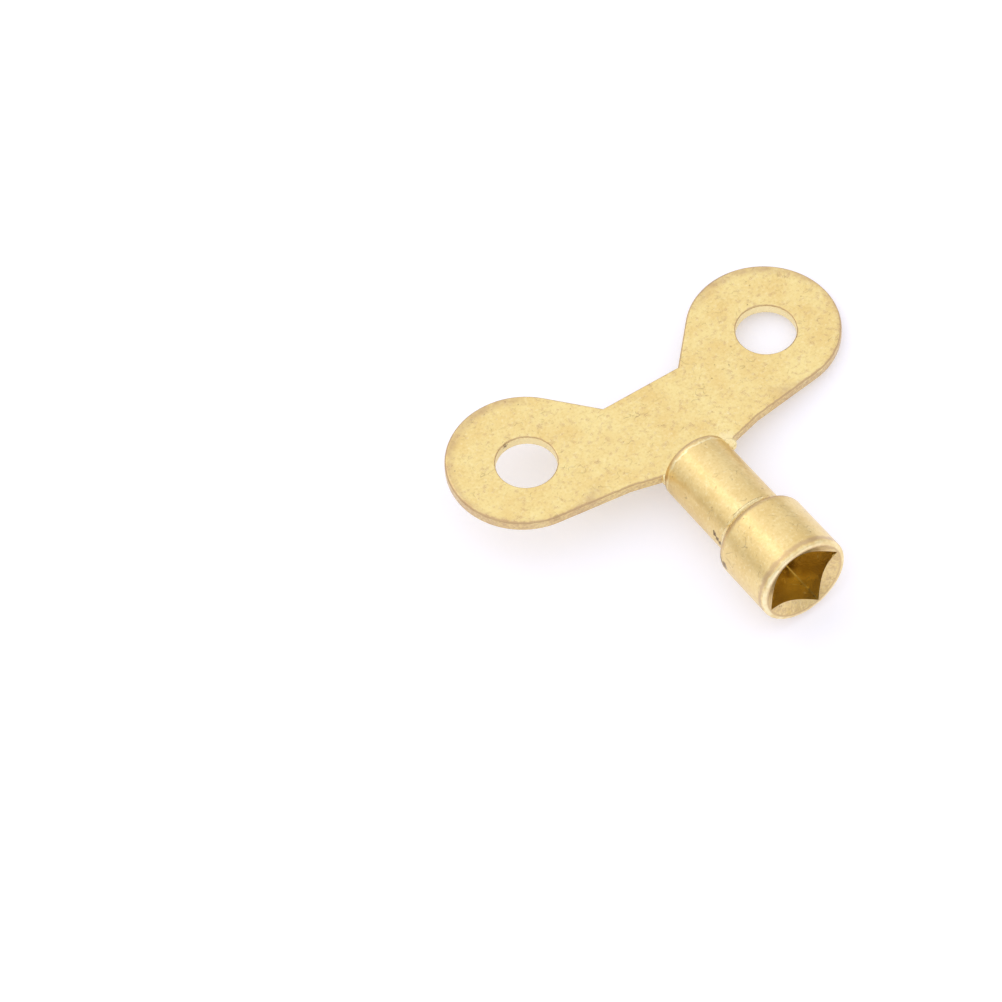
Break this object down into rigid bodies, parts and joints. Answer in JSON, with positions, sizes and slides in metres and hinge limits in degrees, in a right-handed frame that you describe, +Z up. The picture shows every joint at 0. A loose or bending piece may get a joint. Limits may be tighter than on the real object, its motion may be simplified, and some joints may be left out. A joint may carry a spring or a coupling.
{
  "type": "radiator bleed key",
  "caption": "Brass wing key whose square socket turns a radiator's bleed valve by hand; the flat wings have a hanging eye in each lobe.",
  "frame": {"origin": "middle of the base of the bounding box, on the surface the key lies on", "axes": "+X along the wings, +Z up from the surface, and the socket's mouth faces -Y, tilted up 5.5 degrees, because the key lies on the shank's end rim, the head's shoulder and its right lobe"},
  "size_m": [0.0384, 0.032, 0.0089],
  "materials": {
    "plate_brass": "satin, stamped and tumbled",
    "turned_brass": "satin, turned and tumbled",
    "filler_brass": "satin, brazed"
  },
  "bodies": {
    "root": {"wing_plate": "plate_brass", "shank": "turned_brass", "socket_head": "turned_brass", "wing_braze": "filler_brass", "neck_braze": "filler_brass"}
  },
  "joints": []
}
